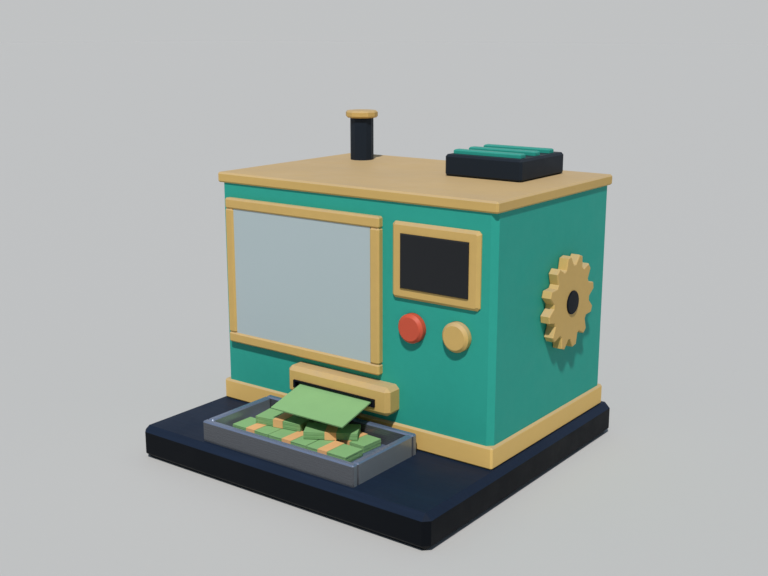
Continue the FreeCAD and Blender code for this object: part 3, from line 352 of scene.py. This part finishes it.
def frosted_pane(name, colour):
    """Frosted sheet: a pale, very even surface under a thin clear gloss."""
    finish = Finish(name, colour, roughness=0.5, coat=0.1)
    finish.mottle(finish.noise(9), 0.35, shade(colour, 1.02))
    finish.mottle(finish.noise(1400, detail=2.0), 0.25, shade(colour, 0.97))
    finish.vary_roughness(25, 0.05)
    finish.bump(finish.noise(2600, detail=2.0), 0.00002)
    return finish.material


def dark_glass(name, colour):
    """Dark screen: smooth glass over a black panel, with faint smudges."""
    finish = Finish(name, colour, roughness=0.4, specular=0.3)
    finish.mottle(finish.noise(14, detail=4.0), 0.4, shade(colour, 1.12))
    finish.vary_roughness(35, 0.08)
    return finish.material


def rubber(name, colour):
    """Matt rubber with a ground surface."""
    finish = Finish(name, colour, roughness=0.75, specular=0.3)
    finish.mottle(finish.noise(500), 0.5, shade(colour, 1.4))
    finish.bump(finish.noise(2500), 0.00006)
    return finish.material


# Finish of every material slot: what makes it, and with which values
FINISHES = {
    "navy_base": (painted_wood, dict(colour=NAVY, roughness=0.55, specular=0.1, top=SKY_LIT_NAVY)),
    # tan_trim_wood: the plinth's lighter base colour is painted light against its shade beside the dark
    # base; the colour above is the roof's tan
    "tan_trim_wood": (
        painted_wood,
        dict(colour=shade(TAN, 1.11), roughness=0.6, specular=0.25, top=SKY_LIT_TAN, upper=shade(TAN, 0.97)),
    ),
    "teal_shell": (moulded, dict(colour=TEAL, roughness=0.55, specular=0.12)),
    "teal_slat": (moulded, dict(colour=TEAL, roughness=0.5, specular=0.2, top=SKY_LIT_TEAL)),
    "navy_plastic": (moulded, dict(colour=DARK_NAVY, roughness=0.5, specular=0.15)),
    "tan_trim": (moulded, dict(colour=TAN, roughness=0.6, specular=0.25, top=SKY_LIT_TAN)),
    "red_button": (moulded, dict(colour=(203, 82, 56), roughness=0.55, grain=0.5)),
    "window_pane": (frosted_pane, dict(colour=(179, 193, 196))),
    "screen_glass": (dark_glass, dict(colour=(24, 26, 30))),
    "black_plastic": (moulded, dict(colour=(15, 19, 28), roughness=0.5, specular=0.1)),
    "tray_metal": (
        metal,
        dict(
            colour=(88, 91, 97),
            roughness=0.26,
            stretch=(1, 30, 30),
            metallic=0.35,
            # painted sky reflection on faces that look up
            rim=(118, 134, 166),
            # painted highlight on faces that look along +X
            lit_ends=(152, 159, 165),
            worn=1.25,
        ),
    ),
    "note_paper": (paper, dict(colour=(136, 180, 122), layered=True)),
    "band_paper": (paper, dict(colour=(232, 178, 122), layered=False)),
    "shaft_steel": (metal, dict(colour=(178, 180, 184), roughness=0.28, stretch=(1, 30, 30))),
    "screw_steel": (metal, dict(colour=(170, 172, 176), roughness=0.3, stretch=EVEN)),
    "spring_steel": (metal, dict(colour=(165, 166, 170), roughness=0.3, stretch=EVEN)),
    "frame_metal": (metal, dict(colour=(176, 180, 186), roughness=0.36, stretch=(30, 1, 30))),
    "bush_brass": (metal, dict(colour=(206, 170, 96), roughness=0.3, stretch=(1, 20, 20))),
    "gear_plastic": (moulded, dict(colour=(228, 225, 215), roughness=0.4)),
    "roller_rubber": (rubber, dict(colour=(32, 32, 34))),
    "inner_plastic": (moulded, dict(colour=(82, 84, 88), roughness=0.5)),
    "circuit_board": (moulded, dict(colour=(30, 92, 58), roughness=0.4, coat=0.3)),
}
MATERIALS = {slot: make(slot, **values) for slot, (make, values) in FINISHES.items()}

for entry in frame["record"]["subparts"]:
    node = frame["nodes"][entry["node"]]
    node.data.materials.clear()
    node.data.materials.append(MATERIALS[entry["material_slot"]])


def add_piece(name, form, body, slot, replaced):
    """Put a form in the scene in place of a solid, with its finish, on the body that carries it."""
    mesh = bpy.data.meshes.new(name)
    form.to_mesh(mesh)
    form.free()
    mesh.materials.append(MATERIALS[slot])
    piece = bpy.data.objects.new(name, mesh)
    bpy.context.scene.collection.objects.link(piece)
    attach(piece, body)
    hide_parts(replaced)
    return piece


def loose_sheets(name, turn, length, chance):
    """Bundle as separate sheets that don't lie quite true, in the space of its solid."""
    low, high = (Vector(corner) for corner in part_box(name))
    middle = (low + high) / 2
    rotation = Matrix.Rotation(math.radians(turn), 3, "Z")
    thickness = (high.z - low.z) / SHEETS
    form = bmesh.new()
    for number in range(SHEETS):
        ragged = [chance.uniform(0, SHEET_SLIP) for _ in range(4)]
        across = (ragged[0] - length / 2, length / 2 - ragged[1])
        along = (ragged[2] - BUNDLE_WIDTH / 2, BUNDLE_WIDTH / 2 - ragged[3])
        bottom = low.z + number * thickness
        sheet = bmesh.ops.create_cube(form, size=1.0)["verts"]
        for vertex in sheet:
            corner = Vector((across[vertex.co.x > 0], along[vertex.co.y > 0], 0))
            place = rotation @ corner + Vector((middle.x, middle.y, 0))
            place.z = bottom + (thickness - SHEET_GAP) * (vertex.co.z > 0)
            vertex.co = place
    bmesh.ops.bevel(form, geom=form.edges[:], offset=SHEET_GAP, segments=1, affect="EDGES")
    add_piece(name + "_sheets", form, "tray", "note_paper", name)


def coil_spring(name):
    """Round-wire spring behind a button's flange."""
    low, high = (Vector(corner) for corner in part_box(name))
    middle = (low + high) / 2
    length = high.y - low.y - 2 * WIRE_RADIUS
    steps = SPRING_TURNS * TURN_STEPS
    form = bmesh.new()
    rings = []
    for step in range(steps + 1):
        turn = 2 * math.pi * step / TURN_STEPS
        outward = Vector((math.cos(turn), 0, math.sin(turn)))
        centre = middle + COIL_RADIUS * outward
        centre.y = low.y + WIRE_RADIUS + length * step / steps
        ring = []
        for side in range(WIRE_SIDES):
            angle = 2 * math.pi * side / WIRE_SIDES
            offset = math.cos(angle) * outward + math.sin(angle) * Vector((0, 1, 0))
            ring.append(form.verts.new(centre + WIRE_RADIUS * offset))
        rings.append(ring)
    for first, second in zip(rings, rings[1:]):
        for side in range(WIRE_SIDES):
            beside = (side + 1) % WIRE_SIDES
            form.faces.new((first[side], first[beside], second[beside], second[side]))
    form.faces.new(rings[0])
    form.faces.new(rings[-1])
    bmesh.ops.recalc_face_normals(form, faces=form.faces)
    for face in form.faces:
        face.smooth = True
    spring = add_piece(name + "_coil", form, "cabinet", "spring_steel", name)
    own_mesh(spring)


chance = random.Random(SHEET_SEED)
for bundle, (turn, length) in BUNDLES.items():
    loose_sheets(bundle, turn, length, chance)
coil_spring("red_button_spring")
coil_spring("tan_button_spring")


def aim(item, place, target):
    """Put an object at a place, looking at a target."""
    item.location = place
    item.rotation_euler = (Vector(target) - Vector(place)).to_track_quat("-Z", "Y").to_euler()


def make_stage():
    """Plain pale floor that keeps the object's shadow."""
    half = FLOOR_SIZE / 2
    corners = [(-half, -half, 0), (half, -half, 0), (half, half, 0), (-half, half, 0)]
    mesh = bpy.data.meshes.new("floor")
    mesh.from_pydata(corners, [], [(0, 1, 2, 3)])
    floor = bpy.data.objects.new("floor", mesh)
    bpy.context.scene.collection.objects.link(floor)
    material = bpy.data.materials.new("floor_paint")
    material.use_nodes = True
    shader = material.node_tree.nodes["Principled BSDF"]
    shader.inputs["Base Color"].default_value = FLOOR_COLOUR + (1.0,)
    shader.inputs["Roughness"].default_value = FLOOR_ROUGHNESS
    shader.inputs["Specular IOR Level"].default_value = FLOOR_SPECULAR
    mesh.materials.append(material)


def make_world():
    """Even light from all round, and a pale backdrop that is seen directly and in reflections."""
    world = bpy.data.worlds.new("studio")
    bpy.context.scene.world = world
    world.use_nodes = True
    tree = world.node_tree
    tree.nodes.clear()
    light = tree.nodes.new("ShaderNodeBackground")
    light.inputs["Color"].default_value = WORLD_LIGHT + (1.0,)
    light.inputs["Strength"].default_value = WORLD_STRENGTH
    seen = tree.nodes.new("ShaderNodeBackground")
    seen.inputs["Color"].default_value = BACKGROUND + (1.0,)
    path = tree.nodes.new("ShaderNodeLightPath")
    shown = path.outputs["Is Camera Ray"]
    for ray in ("Is Glossy Ray", "Is Transmission Ray"):
        either = tree.nodes.new("ShaderNodeMath")
        either.operation = "MAXIMUM"
        tree.links.new(shown, either.inputs[0])
        tree.links.new(path.outputs[ray], either.inputs[1])
        shown = either.outputs["Value"]
    mix = tree.nodes.new("ShaderNodeMixShader")
    output = tree.nodes.new("ShaderNodeOutputWorld")
    tree.links.new(shown, mix.inputs["Fac"])
    tree.links.new(light.outputs["Background"], mix.inputs[1])
    tree.links.new(seen.outputs["Background"], mix.inputs[2])
    tree.links.new(mix.outputs["Shader"], output.inputs["Surface"])


def make_lights():
    """One soft key lamp from the front right, high up."""
    data = bpy.data.lights.new("key", "SUN")
    data.energy = KEY_STRENGTH
    data.color = KEY_COLOUR
    data.angle = math.radians(KEY_ANGLE)
    key = bpy.data.objects.new("key", data)
    bpy.context.scene.collection.objects.link(key)
    travel = Vector(KEY_TRAVEL).normalized()
    aim(key, tuple(-KEY_DISTANCE * travel), (0, 0, 0))


def make_camera():
    """Camera at the photograph's viewing angle."""
    data = bpy.data.cameras.new("camera")
    data.lens = CAMERA_LENS
    data.sensor_width = SENSOR_WIDTH
    camera = bpy.data.objects.new("camera", data)
    bpy.context.scene.collection.objects.link(camera)
    aim(camera, CAMERA_PLACE, CAMERA_TARGET)
    bpy.context.scene.camera = camera


make_stage()
make_world()
make_lights()
make_camera()
bpy.context.scene.view_settings.view_transform = "Standard"
